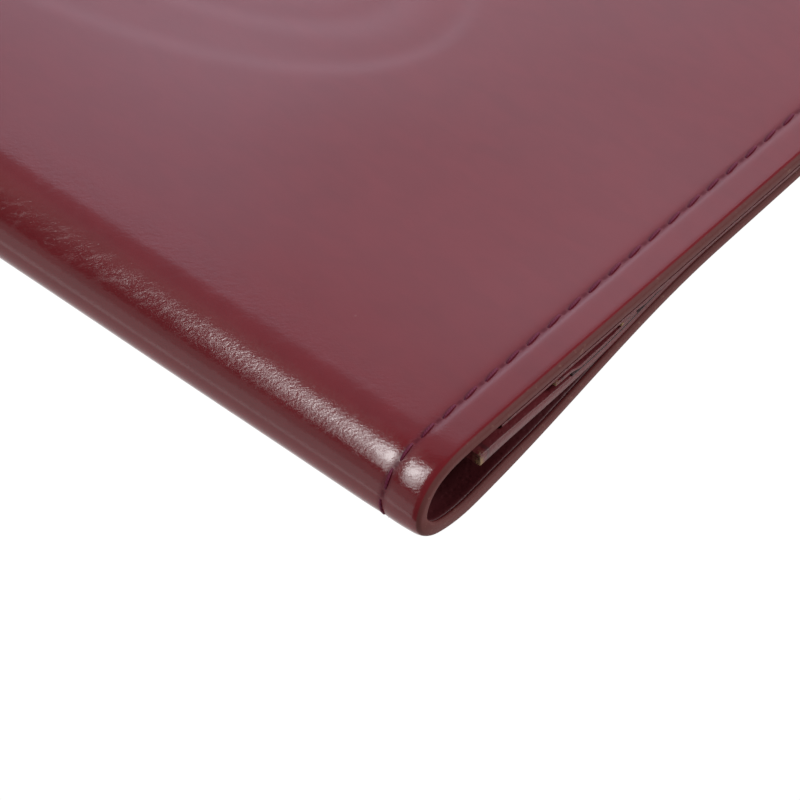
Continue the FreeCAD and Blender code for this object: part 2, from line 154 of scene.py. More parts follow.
class Face:
    """The closed cover's outer face. Seen along the fold it is one line: the back half is flat on the
    floor, the fold is half of an ellipse, fold_reach deep and as high as the fold, and the front half
    comes down in a plane from the fold's top to the open edge, eased in over a few millimetres."""

    EASE = 6.0
    PAST_FOLD = 8

    def __init__(self, z):
        rise, reach = FOLD_HEIGHT / 2, z.fold_reach
        slope = (FOLD_HEIGHT - EDGE_HEIGHT) / (DEPTH - reach)
        quarter = 720
        turn = np.linspace(0, np.pi, 2 * quarter + 1)
        flat = np.linspace(DEPTH, reach, 900)
        f = np.concatenate([flat[:-1], reach * (1 - np.sin(turn)), flat[::-1][1:]])
        height = np.concatenate([0 * flat[:-1], rise * (1 - np.cos(turn)), 0 * flat[1:] + FOLD_HEIGHT])
        past = f - reach
        fall = slope * (np.hypot(past, self.EASE) + past) / 2
        height = height * (1 - fall / FOLD_HEIGHT)
        step = np.hypot(np.diff(f), np.diff(height))
        s = np.concatenate([[0], np.cumsum(step)])
        tip = s[len(flat) - 1 + quarter]
        self.s, self.f, self.z = s - tip, f, height
        tf, tz = np.gradient(f, self.s), np.gradient(height, self.s)
        self.nf, self.nz = -tz / np.hypot(tf, tz), tf / np.hypot(tf, tz)
        self.ends = (self.s[0], self.s[-1])
        self.bulge, self.askew, self.flare = z.bulge, z.askew, z.flare
        bend = np.degrees(np.arctan2(tz, -tf))
        middle = slice(len(flat) + quarter - 420, len(flat) + quarter + 420)
        self.split = [float(np.interp(t, bend[middle], self.s[middle])) for t in (60, 120)]

    def at(self, x, s, height):
        """Points in metres. The leather has slid along the fold: nothing on the front half, bulge under
        the fold, and back again by askew over the back half. The fold's ends flare out a little."""
        x, s, height = np.broadcast_arrays(x, s, height)
        f = np.interp(s, self.s, self.f) + np.interp(s, self.s, self.nf) * height
        up = np.interp(s, self.s, self.z) + np.interp(s, self.s, self.nz) * height
        slid = self.bulge * ease(-s, -6, 4) - self.askew * ease(np.where(s < 0, f, 0), 3, 50)
        spread = self.flare * bell(s, 0.5, 6.0) * ease(np.abs(x), HALF_LENGTH - 4.5, HALF_LENGTH)
        return np.stack([x + slid + np.sign(x) * spread, f + OPEN_EDGE_Y - DEPTH, up], axis=-1) * MM

    def along(self, half, f):
        """Place s on one half for a distance f from the fold's outermost line."""
        side = self.s * half > self.PAST_FOLD
        order = np.argsort(self.f[side])
        return np.interp(f, self.f[side][order], self.s[side][order])

    def point(self, s, height=0.0):
        """A place of the fold's cross section, at x 0: with no x in it, it is the same all along the fold."""
        _, y, up = self.at(0.0, s, height)
        return 0.0, float(y), float(up)


def inset_of(x, s, half_x, s_start, s_end, radius):
    """Distance in from the rim of a sheet: the signed distance to a rectangle whose corners at s_end are
    rounded, and which goes on for ever past s_start."""
    qx = np.abs(x) - (half_x - radius)
    qs = (s - s_end) * np.sign(s_end - s_start) + radius
    outside = np.hypot(np.maximum(qx, 0), np.maximum(qs, 0))
    return radius - outside - np.minimum(np.maximum(qx, qs), 0)


# Grid lines in from an edge: close together at the rim and round the seam.
EDGE_STEPS = np.array([0, .03, .08, .15, .25, .38, .52, .68, .85, 1.05, 1.3, 1.6, 1.95, 2.3, 2.65, 3.0, 3.3,
                       3.55, 3.75, 3.93, 4.07, 4.2, 4.33, 4.47, 4.65, 4.85, 5.1, 5.5, 6.0, 6.7, 7.6])
COARSE_STEPS = np.array([0, .06, .15, .3, .6, 1.1, 1.8, 2.8, 4.0, 5.5, 7.6])
MOUTH_STEPS = COARSE_STEPS[:-2]
CLUSTER = np.array([0, .02, .07, .2])
TAPER = 10


def spread_lines(start, end, step):
    """Evenly spaced places from start to end, both left out."""
    count = max(int(abs(end - start) / step), 1)
    return np.linspace(start, end, count + 1)[1:-1]


def width_lines(half_x, edge, step):
    """Grid lines across the wallet, close together near both short sides."""
    side = half_x - edge
    return np.concatenate([-side, spread_lines(-side[-1], side[-1], step), side[::-1]])


def taper_corners(x, s, half_x, s_start, s_end, radius):
    """Near a rounded end only the outer part of each row draws in, so that the row ends on the arc."""
    e = np.clip((s_end - s) * np.sign(s_end - s_start), 0, radius)
    half = half_x - radius + np.sqrt(np.maximum(radius ** 2 - (radius - e) ** 2, 0))
    core = half_x - TAPER
    out = np.maximum(np.abs(x) - core, 0) * (half - core) / TAPER
    return np.sign(x) * (np.minimum(np.abs(x), core) + out)


def sheet_grid(half_x, edge, step, lines, start, end, corner):
    """x, the place along, and the distance in from the rim, on the grid of a sheet whose two corners at
    end are rounded."""
    x, s = np.meshgrid(width_lines(half_x, edge, step), lines, indexing="ij")
    if corner:
        x = taper_corners(x, s, half_x, start, end, corner)
    return x, s, inset_of(x, s, half_x, start, end, corner)


def rounding(inset, width, drop):
    """How far a face falls away near an edge: a quarter of an ellipse, width by drop."""
    u = 1 - np.clip(inset / width, 0, 1)
    return drop * (1 - np.sqrt(np.maximum(1 - u * u, 0)))


def bell(value, centre, width):
    return np.exp(-(((value - centre) / width) ** 2))


def ease(value, low, high):
    """0 up to low, 1 from high on, smooth between."""
    t = np.clip((value - low) / (high - low), 0, 1)
    return t * t * (3 - 2 * t)


# ---- meshes ------------------------------------------------------------------------------------------


def sheet_faces(rows, columns):
    """Corner numbers of a closed sheet: one grid, its copy turned over, and a band round the rim."""
    i = np.arange(rows * columns).reshape(rows, columns)
    top = np.stack([i[:-1, :-1], i[1:, :-1], i[1:, 1:], i[:-1, 1:]], -1).reshape(-1, 4)
    loop = np.concatenate([i[:-1, 0], i[-1, :-1], i[:0:-1, -1], i[0, :0:-1]])
    after = np.roll(loop, -1)
    count = rows * columns
    band = np.stack([after, loop, loop + count, after + count], -1)
    return np.concatenate([top, top[:, ::-1] + count, band])


def signed_volume(co, faces):
    a, b, c, d = (co[faces[:, k]] for k in range(4))
    return float((np.cross(a, b) * c).sum() + (np.cross(a, c) * d).sum())


def new_piece(name, co, faces, caps=(), attributes=None, more_faces=()):
    """A smooth mesh object at the origin. Faces are turned outwards by the sign of the volume they hold.
    caps are sets of corners whose edges stay sharp; attributes are numbers on corners."""
    if signed_volume(co, faces) < 0:
        faces = faces[:, ::-1]
        more_faces = [f[:, ::-1] for f in more_faces]
    mesh = bpy.data.meshes.new(name)
    listed = faces.tolist()
    for extra in more_faces:
        listed += extra.tolist()
    mesh.from_pydata(co.astype(np.float32), [], listed)
    mesh.polygons.foreach_set("use_smooth", np.ones(len(mesh.polygons), bool))
    for key, values in (attributes or {}).items():
        layer = mesh.attributes.new(key, "FLOAT", "POINT")
        layer.data.foreach_set("value", np.asarray(values, np.float32).ravel())
    if len(caps):
        ends = np.zeros(len(mesh.edges) * 2, np.int32)
        mesh.edges.foreach_get("vertices", ends)
        ends = ends.reshape(-1, 2)
        sharp = np.zeros(len(ends), bool)
        for cap in caps:
            held = np.zeros(len(co), bool)
            held[cap] = True
            sharp |= held[ends[:, 0]] & held[ends[:, 1]]
        mesh.attributes.new("sharp_edge", "BOOLEAN", "EDGE").data.foreach_set("value", sharp)
    mesh.update()
    piece = bpy.data.objects.new(name, mesh)
    bpy.context.scene.collection.objects.link(piece)
    return piece


def new_sheet(name, outer, inner, cap_columns=(), attributes=None):
    """A closed sheet between two faces given on one grid, rows by columns by 3."""
    rows, columns = outer.shape[:2]
    co = np.concatenate([outer.reshape(-1, 3), inner.reshape(-1, 3)])
    i = np.arange(rows * columns).reshape(rows, columns)
    caps = [np.concatenate([i[:, c], i[:, c] + rows * columns]) for c in cap_columns]
    both = {k: np.concatenate([v.ravel(), v.ravel()]) for k, v in (attributes or {}).items()}
    return new_piece(name, co, sheet_faces(rows, columns), caps, both)


def dress(piece, material, body=None, nodes=()):
    """Gives a piece its material and its body, and hides the CAD nodes it stands for."""
    piece.data.materials.append(material)
    if body:
        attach(piece, body)
    if nodes:
        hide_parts(*nodes)


# ---- cover and lining --------------------------------------------------------------------------------


def waves(x, s):
    """Slow hand-made unevenness of the leather: a few crossed sine waves, 25 to 70 mm long."""
    rng = np.random.default_rng(21)
    total = 0 * x
    for long in (71.0, 52.0, 43.0, 33.0, 26.0):
        way, start = rng.uniform(0, np.pi), rng.uniform(0, 2 * np.pi)
        total = total + long / 71 * np.sin(
            2 * np.pi * (x * np.cos(way) + s * np.sin(way)) / long + start)
    return total


PINCH, SWELL, UNEVEN = 0.25, 0.012, 0.022
TURNED_RIM, TURNED_MORE = 0.35, 0.55


def oval_relief(z, x, f):
    """A plain pressed oval, as heights along its own radius: a shallow step down at its rim, and a faint
    ring inside it."""
    inner_x, inner_y = z.oval_x - OVAL_RING, z.oval_y - OVAL_RING
    radius = np.hypot(x / z.oval_x, (f - OVAL_MIDDLE) / z.oval_y)
    inner = np.hypot(x / inner_x, (f - OVAL_MIDDLE) / inner_y)
    step, ring = (radius - 1) * z.oval_y, (inner - 1) * inner_y
    pressed = -0.030 * (1 - ease(step, -0.45, 0.45))
    return pressed - 0.016 * bell(ring, 0, 0.7) + 0.008 * bell(ring, 1.5, 0.9)


def cover_height(z, x, s, inset, f, half):
    """Height of the polished face over the plain one: a groove along the seam, slow waves, and the oval
    on the front half. Near the short sides the fold is pinched."""
    seam = inset - z.seam_inset
    nose = 1 - ease(np.abs(s), 4, 11)
    end = HALF_LENGTH - np.abs(x)
    swell = SWELL * (1 - np.exp(-np.maximum(seam, 0) / 2.5))
    height = (-z.groove * (1 - 0.4 * nose) * bell(seam, 0, 0.6) + swell
              + UNEVEN * waves(x, s) * ease(inset, 1, 14))
    height = height - PINCH * nose * np.clip(1 - end / z.seam_inset, 0, 1) ** 2
    height = height - 0.04 * nose * bell(end, z.seam_inset, 1.6)
    if half == FRONT:
        height = height + oval_relief(z, x, f)
    return height


def rim_depth(s):
    """How far the turned rim reaches past the cover's thickness: more round the fold and on the back half
    until the note pocket lies flat."""
    return TURNED_RIM + TURNED_MORE * (1 - ease(s, -2, 8)) * ease(s, -24, -13)


def split_columns(half):
    """Columns of a skin's grid that lie at the fold's splits, where its end faces stay sharp."""
    return (0, -1) if half == FOLD else (0,)


def cover_skin(face, z, name, s_lines, half, step):
    """One of the cover's three skins, from s_lines[0] to s_lines[-1]. Its outer face carries the relief
    and rounds off at the rim; its inner face folds over the lining's edge close to the rim."""
    end = face.ends[1] if half == FRONT else face.ends[0]
    x, s, inset = sheet_grid(HALF_LENGTH, EDGE_STEPS, step, s_lines, 0, end, z.corner)
    f = np.interp(s, face.s, face.f)
    fall = rounding(inset, z.rim_width, 0.5)
    outer = cover_height(z, x, s, inset, f, half) - fall
    turned = rim_depth(s) * (1 - ease(inset, 0.50, 0.67))
    inner = -z.cover - turned + rounding(inset, 0.35, 0.35)
    marks = {"inset": inset, "along": s}
    return new_sheet(name, face.at(x, s, outer), face.at(x, s, inner), split_columns(half), marks)


def lining_skin(face, z, name, s_lines, half):
    """The lining inside a skin: it stops just short of the rim, meets the turned rim there, and rises
    over the stiffener."""
    trim = RIM_OVERLAP
    end = face.ends[1] - trim if half == FRONT else face.ends[0] + trim
    x, s, inset = sheet_grid(HALF_LENGTH - trim, COARSE_STEPS, 2.2, s_lines, 0, end, z.corner - trim)
    f = np.interp(s, face.s, face.f)
    over = ease(inset, 7.5, 8.5) * ease(f, 11, 12) * (np.abs(s) > 9) * z.board
    outer = -z.cover - 0.01 - over
    lift = np.maximum(rim_depth(s) - z.lining, 0) * (1 - ease(inset, 0.1, 1.6))
    uneven = 0.012 * waves(s * 2, x * 1.3)
    inner = -z.cover - z.lining - over - lift + rounding(inset, 0.2, 0.05) - uneven
    marks = {"inset": inset}
    return new_sheet(name, face.at(x, s, outer), face.at(x, s, inner), split_columns(half), marks)


def half_lines(face, half, edge, fine, near, step, trim=0.0):
    """Grid lines along one half, from its split at the fold to its open edge."""
    split = face.split[1] if half == FRONT else -face.split[0]
    end = abs(face.ends[1 if half == FRONT else 0]) - trim
    bend = split + CLUSTER
    turned, eased = 12.0, 18.0
    lines = np.concatenate([
        bend, spread_lines(bend[-1], turned, fine), [turned], spread_lines(turned, eased, near), [eased],
        spread_lines(eased, end - edge[-1], step), end - edge[::-1]])
    return lines * half


def fold_lines(face, step):
    """Grid lines across the fold's middle, close together at both splits."""
    low, high = face.split
    return np.concatenate([low + CLUSTER, spread_lines(low + CLUSTER[-1], high - CLUSTER[-1], step),
                           (high - CLUSTER)[::-1]])


def join_over(face, piece, half, depth):
    """Bakes the piece's transform into its mesh; it blends nothing between bodies. The places where such a
    blend would start and end are worked out and left unused: on a half, from BLEND_REACH to just past the
    split, where the whole thickness, depth, has turned with the fold's nearer body; in the middle of the
    fold, the two splits."""
    if half == BACK:
        face.point(-BLEND_REACH)
        face.point(face.split[0] - 0.1, -depth)
        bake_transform(piece)
    elif half == FRONT:
        face.point(face.split[1] + 0.1, -depth)
        face.point(BLEND_REACH)
        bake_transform(piece)
    else:
        (_, y, low), (_, _, high) = (face.point(split, -depth) for split in face.split)
        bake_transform(piece)


# ---- threads -----------------------------------------------------------------------------------------


STITCH_RINGS, STITCH_CORNERS = 7, 8
THREAD_RISE, STITCH_SLANT, STITCH_STAND, STITCH_DIVE = 0.13, 0.13, 0.06, 0.36


def stitch_rings(x, s, dx, ds, height, z, inward):
    """Stitches as flattened tubes. Along a stitch, t from -1 to 1, the thread thins as 1 - 0.45 t**2, dives
    into its holes as abs(t)**5, and slants a little across the seam. inward -1 puts it on the far side of
    the leather. The first five arguments are arrays of one length."""
    t = np.linspace(-1, 1, STITCH_RINGS)[None, :, None]
    turn = np.linspace(0, 2 * np.pi, STITCH_CORNERS, endpoint=False)[None, None, :]
    x, s, dx, ds, height = (np.asarray(v, float)[:, None, None] for v in (x, s, dx, ds, height))
    thick = 1 - 0.45 * t ** 2
    side = z.thread / 2 * np.cos(turn) * thick + STITCH_SLANT * t
    up = THREAD_RISE * np.sin(turn) * thick + STITCH_STAND - STITCH_DIVE * np.abs(t) ** 5
    along = t * z.stitch / 2
    return (x + dx * along - ds * side, s + ds * along + dx * side, height + inward * up)


def tube_faces(stitches):
    """Corner numbers of many closed tubes: four-sided walls and one many-sided cap at each end."""
    i = np.arange(stitches * STITCH_RINGS * STITCH_CORNERS).reshape(stitches, STITCH_RINGS, STITCH_CORNERS)
    a, b = i[:, :-1], i[:, 1:]
    walls = np.stack([a, b, np.roll(b, -1, 2), np.roll(a, -1, 2)], -1).reshape(-1, 4)
    return walls, [i[:, 0, :], i[:, -1, ::-1]]


def new_stitches(face, z, name, runs):
    """One mesh of stitches from runs of (x, s, dx, ds, height, inward)."""
    parts, marks = [], []
    for x, s, dx, ds, height, inward in runs:
        n = len(x)
        full = [np.broadcast_to(np.asarray(v, float), (n,)) for v in (x, s, dx, ds, height)]
        px, ps, ph = stitch_rings(*full, z, inward)
        parts.append(face.at(px, ps, ph).reshape(-1, 3))
        marks.append(np.broadcast_to(np.linspace(-1, 1, STITCH_RINGS)[None, :, None],
                                     (n, STITCH_RINGS, STITCH_CORNERS)).ravel())
    co = np.concatenate(parts)
    walls, caps = tube_faces(len(co) // (STITCH_RINGS * STITCH_CORNERS))
    return new_piece(name, co, walls, (), {"stitch": np.concatenate(marks)}, caps)


def stitch_places(start, end, pitch):
    """Middles of stitches that fill a run evenly, at about the pitch."""
    count = max(int(round((end - start) / pitch)), 1)
    return start + (np.arange(count) + 0.5) * (end - start) / count


def grooved(z):
    """Height of the outer stitches, in the groove."""
    return -z.groove + STITCH_STAND


INNER_SEAM_START = 22.5


class Seam:
    """Where the seam runs, which is the same on both halves, and how far apart its holes are."""

    def __init__(self, face, z):
        self.first, self.end = z.pitch * 0.5, face.ends[1] - z.seam_inset
        self.side = HALF_LENGTH - z.seam_inset
        self.down = stitch_places(self.first, self.end, z.pitch)
        self.wide = stitch_places(-self.side, self.side, z.pitch)
        self.down_pitch, self.wide_pitch = (run[1] - run[0] for run in (self.down, self.wide))


def half_runs(face, z, half, inner_height):
    """Outer and inner stitches of one half: both short sides, then along the open edge."""
    seam = Seam(face, z)
    end, side_x, down, wide = seam.end, seam.side, seam.down, seam.wide
    runs = []
    for sign in (-1, 1):
        runs.append((0 * down + sign * side_x, down * half, 0, 1, grooved(z), 1.0))
        inside = down[down > abs(face.along(half, INNER_SEAM_START))]
        runs.append((0 * inside + sign * side_x, inside * half, 0, 1,
                     inner_height(np.interp(inside * half, face.s, face.f)), -1.0))
    runs.append((wide, 0 * wide + end * half, 1, 0, grooved(z), 1.0))
    runs.append((wide, 0 * wide + end * half, 1, 0, inner_height(0 * wide + DEPTH - z.seam_inset), -1.0))
    return runs


# ---- pockets -----------------------------------------------------------------------------------------

LINING_IN, CLOTH_OUT, CLOTH_IN, PANEL_IN = 1.45, 1.85, 2.0, 2.3
CARD_BASE, CARD_TOP, LAP_BASE, LAP_TOP = 2.45, 2.8, 2.9, 3.25
NOTE_MOUTH, FRONT_MOUTH, RECEIPT_MOUTH = 9.6, 14.0, 62.0
CARD_MOUTHS = (22.0, 33.5, 45.0, 56.5)
CARD_LAP, CARD_RAMP, CARD_STEP, CARD_CLEAR, CARD_END = 3.0, 1.5, 11.5, 0.2, 1.5
RECEIPT, GLUE, HEM, CREASE = 0.4, 0.005, 5.0, 0.07
GAPE_START, GAPE_END = 2.6, 26.4


def card_depth(f, mouth, flat, lapped):
    """Depth of a card pocket's face: lapped near its mouth, then down a short ramp to flat."""
    return lapped + (flat - lapped) * ease(f, mouth + CARD_LAP, mouth + CARD_LAP + CARD_RAMP)


def card_top(f):
    """Depth of the innermost leather of the back half."""
    depth = np.full(np.shape(f), PANEL_IN)
    for mouth in CARD_MOUTHS:
        depth = np.where(f > mouth, card_depth(f, mouth, CARD_TOP, LAP_TOP), depth)
    return depth


def front_top(f):
    """Depth of the innermost leather of the front half."""
    panel_in = np.where(f > FRONT_MOUTH, PANEL_IN, LINING_IN)
    return np.where(f > RECEIPT_MOUTH, PANEL_IN + RECEIPT, panel_in)


def gape_of(z, x, f):
    """How far the note pocket's mouth stands off: most at the mouth, nothing GAPE_END behind it, and a
    little less in the middle of the wallet than near its ends."""
    fade = 1 - ease(f, NOTE_MOUTH - GAPE_START, NOTE_MOUTH + GAPE_END)
    return z.gape * fade * (0.80 + 0.20 * (np.abs(x) / HALF_LENGTH) ** 2 + 0.02 * np.sin(x / 11.0))


def panel(face, z, name, half, start, end, out_depth, in_depth, half_x=None, corner=None, step=1.6,
          crease=0.0, shelter=0.0):
    """A flat piece of leather or cloth inside one half, between two depths that are functions of x and of
    the distance from the fold. Its edges round off, a crease line of that depth runs just behind its
    mouth, and shelter keeps the wear off its ends."""
    half_x = HALF_LENGTH - z.panel_trim if half_x is None else half_x
    corner = z.corner - z.panel_trim if corner is None else corner
    mouth, rim = start + MOUTH_STEPS, end - COARSE_STEPS[::-1]
    f_lines = np.concatenate([mouth, spread_lines(mouth[-1], rim[0], step), rim])
    x, f, inset = sheet_grid(half_x, COARSE_STEPS, 2.4, f_lines, start, end, corner)
    inset = np.minimum(inset, f - start)
    soft = rounding(inset, 0.25, 0.11)
    s = face.along(half, f)
    outer = -out_depth(x, f) - soft
    inner = -in_depth(x, f) + soft + crease * bell(f - start, 1.3, 0.22)
    marks = {"inset": inset, "mouth": f - start, "side": HALF_LENGTH - np.abs(x) + shelter}
    return new_sheet(name, face.at(x, s, outer), face.at(x, s, inner), (), marks)


# ---- materials ---------------------------------------------------------------------------------------


class Field:
    """One output socket of a material's nodes. Sums written on it add Math nodes."""

    def __init__(self, paint, socket):
        self.paint, self.socket = paint, socket

    def math(self, operation, *values, clamp=False):
        return self.paint.node("ShaderNodeMath", {"operation": operation, "use_clamp": clamp},
                               dict(enumerate(values)))

    def __add__(self, other):
        return self.math("ADD", self, other)

    def __sub__(self, other):
        return self.math("SUBTRACT", self, other)

    def __rsub__(self, other):
        return self.math("SUBTRACT", other, self)

    def __mul__(self, other):
        return self.math("MULTIPLY", self, other)

    __radd__, __rmul__ = __add__, __mul__

    def clamp(self):
        return self.math("ADD", self, 0.0, clamp=True)

    def wave(self):
        """Sine of the value."""
        return self.math("SINE", self)

    def size(self):
        return self.math("ABSOLUTE", self)

    def ease(self, low, high):
        """0 up to low, 1 from high on, smooth between; low above high turns it round."""
        flip = low > high
        eased = self.paint.node("ShaderNodeMapRange", {"interpolation_type": "SMOOTHSTEP"},
                                {0: self, 1: min(low, high), 2: max(low, high), 3: 0.0, 4: 1.0})
        return 1.0 - eased if flip else eased


class Paint:
    """A material and the one way in which its nodes are added."""

    def __init__(self, name):
        self.material = bpy.data.materials.new(name)
        self.material.use_nodes = True
        self.tree = self.material.node_tree
        self.tree.nodes.clear()
        coordinates = self.node("ShaderNodeTexCoord", output="Object")
        self.place = self.scaled(coordinates, (1000, 1000, 1000))

    def node(self, kind, settings=None, inputs=None, output=0):
        """Adds a node of a type, gives it its settings first and then the values or links of its
        sockets, and returns one of its outputs."""
        made = self.tree.nodes.new(kind)
        for key, value in (settings or {}).items():
            setattr(made, key, value)
        for key, value in (inputs or {}).items():
            if isinstance(value, Field):
                self.tree.links.new(value.socket, made.inputs[key])
            else:
                made.inputs[key].default_value = value
        return Field(self, made.outputs[output]) if made.outputs else None

    def scaled(self, vector, by):
        return self.node("ShaderNodeVectorMath", {"operation": "MULTIPLY"}, {0: vector, 1: by})

    def turned(self, vector, angle, by):
        """The vector turned about Z, then stretched."""
        spun = self.node("ShaderNodeVectorRotate", {"rotation_type": "Z_AXIS"},
                         {"Vector": vector, "Angle": angle})
        return self.scaled(spun, by)

    def noise(self, per_mm, detail=3.0, roughness=0.5, distortion=0.0, vector=None):
        return self.node("ShaderNodeTexNoise", {}, {
            "Vector": vector or self.place, "Scale": per_mm, "Detail": detail, "Roughness": roughness,
            "Distortion": distortion})

    def cells(self, per_mm):
        """Distance to the nearest of many scattered points."""
        return self.node("ShaderNodeTexVoronoi", {}, {"Vector": self.place, "Scale": per_mm})

    def mark(self, name):
        """A number that the mesh holds on its corners."""
        return self.node("ShaderNodeAttribute", {"attribute_name": name}, output="Fac")

    def mix(self, factor, a, b):
        """Colour a where factor is 0, b where it is 1."""
        a, b = ((*c, 1.0) if not isinstance(c, Field) else c for c in (a, b))
        return self.node("ShaderNodeMix", {"data_type": "RGBA"}, {0: factor, 6: a, 7: b}, output=2)

    def bump(self, height, depth_mm, normal=None):
        """A bump whose height, from 0 to 1, stands for depth_mm."""
        inputs = {"Height": height, "Strength": 1.0, "Distance": depth_mm * MM}
        if normal:
            inputs["Normal"] = normal
        return self.node("ShaderNodeBump", {}, inputs)

    def shader(self, colour, roughness, normal, **constants):
        """A Principled shader; constants go straight onto its sockets."""
        inputs = {"Base Color": colour, "Roughness": roughness, "Normal": normal}
        inputs.update({key.replace("_", " "): value for key, value in constants.items()})
        return self.node("ShaderNodeBsdfPrincipled", {}, inputs)

    def finish(self, shader):
        self.node("ShaderNodeOutputMaterial", {}, {"Surface": shader})
        return self.material


# The stitch line and stitch hole colours are painted shade in the seam's groove and in its holes.
GROOVE_SHADE, HOLE_SHADE, SCUFF = (0.090, 0.008, 0.024), (0.040, 0.004, 0.012), (0.42, 0.24, 0.22)
# The crease colour is painted shade in the pockets' crease lines.
RUBBED_PAINT, RUBBED_EDGE, CREASE_SHADE = (0.16, 0.07, 0.055), (0.12, 0.04, 0.035), (0.03, 0.004, 0.006)
# The thread end colour is painted shade where the thread dives into its holes.
BOARD_SPECK, THREAD_DIVE_SHADE, FLOOR_SHADE = (0.08, 0.06, 0.045), (0.035, 0.004, 0.012), (0.97, 0.97, 0.98)
STREAK_ANGLE = math.radians(-38)
WEAVE_PITCH, PLY_PITCH = 0.9, 0.42


def polished_calf(c, z, face):
    """Burgundy calf under a clear polish: slow mottling, grain, pores, streaky crinkles where the leather
    bends, small pale scuffs and specks, and brown paint on the rim. Painted shade darkens the seam's groove
    line and its holes. The rim is matt, and the groove line with its holes is partly so."""
    p = Paint("polished_calf")
    inset, along = p.mark("inset"), p.mark("along")
    slow = p.noise(0.035, 4.0, 0.55)
    cloudy = p.noise(0.22, 4.0, 0.6)
    blotches = p.noise(0.34, 3.0, 0.6, 0.4, p.scaled(p.place, (0.6, 1.3, 1.0)))
    tone = slow.ease(0.36, 0.62) * 0.6 + blotches.ease(0.35, 0.65) * 0.4
    colour = p.mix(tone, c.leather_deep, c.leather)

    fold = along.size().ease(15.0, 6.0) * 0.9 + along.size().ease(26.0, 10.0) * 0.1
    streaks = p.noise(0.62, 5.0, 0.66, 0.9, p.turned(p.place, STREAK_ANGLE, (0.8, 1.9, 1.2)))
    crinkles = p.noise(2.3, 2.0, 0.6, 0.4, p.turned(p.place, STREAK_ANGLE, (0.9, 1.6, 1.2)))
    cracks = streaks.ease(0.50, 0.66)
    pores = p.cells(3.1).ease(0.05, 0.42)
    grain = p.noise(2.4, 3.0, 0.6)

    seam = Seam(face, z)
    near_seam = (inset - z.seam_inset).size()
    # The groove line and the holes mark where shade is painted along the seam; they also make the leather
    # there rougher and matt.
    line = near_seam.ease(0.7, 0.2)
    across = p.node("ShaderNodeSeparateXYZ", {}, {0: p.place})
    at_end = along.size().ease(seam.end - 1.2, seam.end - 0.6)
    down_beat = ((along.size() - seam.first) * (2 * math.pi / seam.down_pitch) + math.pi / 2).wave()
    wide_beat = ((across + seam.side) * (2 * math.pi / seam.wide_pitch) + math.pi / 2).wave()
    beat = down_beat * (1.0 - at_end) + wide_beat * at_end
    holes = near_seam.ease(0.34, 0.08) * beat.ease(0.6, 0.92)
    # Painted shade: first the seam's groove line, then its stitch holes.
    colour = p.mix(line * 0.30, colour, GROOVE_SHADE)
    colour = p.mix(holes * 0.4, colour, HOLE_SHADE)

    rim = inset.ease(0.50, 0.30)
    paint_wear = p.noise(1.3, 3.0, 0.6)
    rim_colour = p.mix(paint_wear.ease(0.60, 0.76), c.rim, RUBBED_PAINT)
    colour = p.mix(rim, colour, rim_colour)

    scuff_spots = p.cells(0.055).ease(0.045, 0.020) * p.noise(0.9, 2.0).ease(0.40, 0.6)
    specks = p.cells(0.10).ease(0.030, 0.012)
    colour = p.mix(scuff_spots * 0.4 + specks * 0.3, colour, SCUFF)

    roughness = (0.095 + slow * 0.05 + cloudy * 0.04 + cracks * fold * 0.10 + scuff_spots * 0.2
                 + line * 0.10)
    normal = p.bump(p.noise(0.026, 0.6) + cloudy * 0.012, 0.26)
    normal = p.bump(grain, 0.0022, normal)
    normal = p.bump(pores, 0.0015, normal)
    normal = p.bump(streaks * (fold * 0.97 + 0.03), 0.014, normal)
    normal = p.bump(crinkles * fold, 0.011, normal)
    normal = p.bump(paint_wear * rim, 0.03, normal)
    matt = (rim + holes * 0.4 + line * 0.4).clamp()
    skin = p.shader(colour, roughness, normal, IOR=1.5)
    dull = p.shader(colour, 0.6, normal, Specular_IOR_Level=0.12)
    return p.finish(p.node("ShaderNodeMixShader", {}, {0: matt, 1: skin, 2: dull}))


def satin_lining(c):
    """Satin split leather with a fine print and slow shading."""
    p = Paint("satin_lining")
    slow, grain = p.noise(0.08, 3.0), p.noise(1.9, 4.0, 0.65)
    cells = p.cells(1.5)
    colour = p.mix((slow * 0.8 + grain * 0.4 - 0.1).clamp(), c.lining * 0.6, c.lining)
    normal = p.bump(cells.ease(0.02, 0.5), 0.03, p.bump(grain, 0.03))
    return p.finish(p.shader(colour, 0.44 + grain * 0.14, normal, Specular_IOR_Level=0.3))


def grained_calf(c):
    """Pocket leather: grained, with painted shade in its crease line, and rubbed tan at the ends of its
    mouth.
    """
    p = Paint("grained_calf")
    slow, grain = p.noise(0.10, 3.0), p.noise(2.1, 4.0, 0.65)
    cells = p.cells(1.7)
    inset, mouth, side = p.mark("inset"), p.mark("mouth"), p.mark("side")
    colour = p.mix((slow * 0.9 + grain * 0.4 - 0.15).clamp(), c.pocket * 0.6, c.pocket)
    # Painted shade in the crease line just behind the mouth.
    crease = (mouth - 1.3).size().ease(0.35, 0.1)
    colour = p.mix(crease * 0.6, colour, CREASE_SHADE)
    ragged = p.noise(1.6, 4.0, 0.7, 0.5)
    worn = mouth.ease(0.9, 0.1) * side.ease(1.4, 0.4) * ragged.ease(0.38, 0.56)
    colour = p.mix(worn * 0.9, colour, c.worn)
    edge = inset.ease(0.22, 0.08)
    colour = p.mix(edge * 0.35 * ragged, colour, RUBBED_EDGE)
    normal = p.bump(cells.ease(0.02, 0.5), 0.03, p.bump(grain, 0.025))
    normal = p.bump(ragged * (worn * 0.8 + edge * 0.2), 0.12, normal)
    return p.finish(p.shader(colour, 0.38 + grain * 0.16 + worn * 0.2, normal, Specular_IOR_Level=0.35))


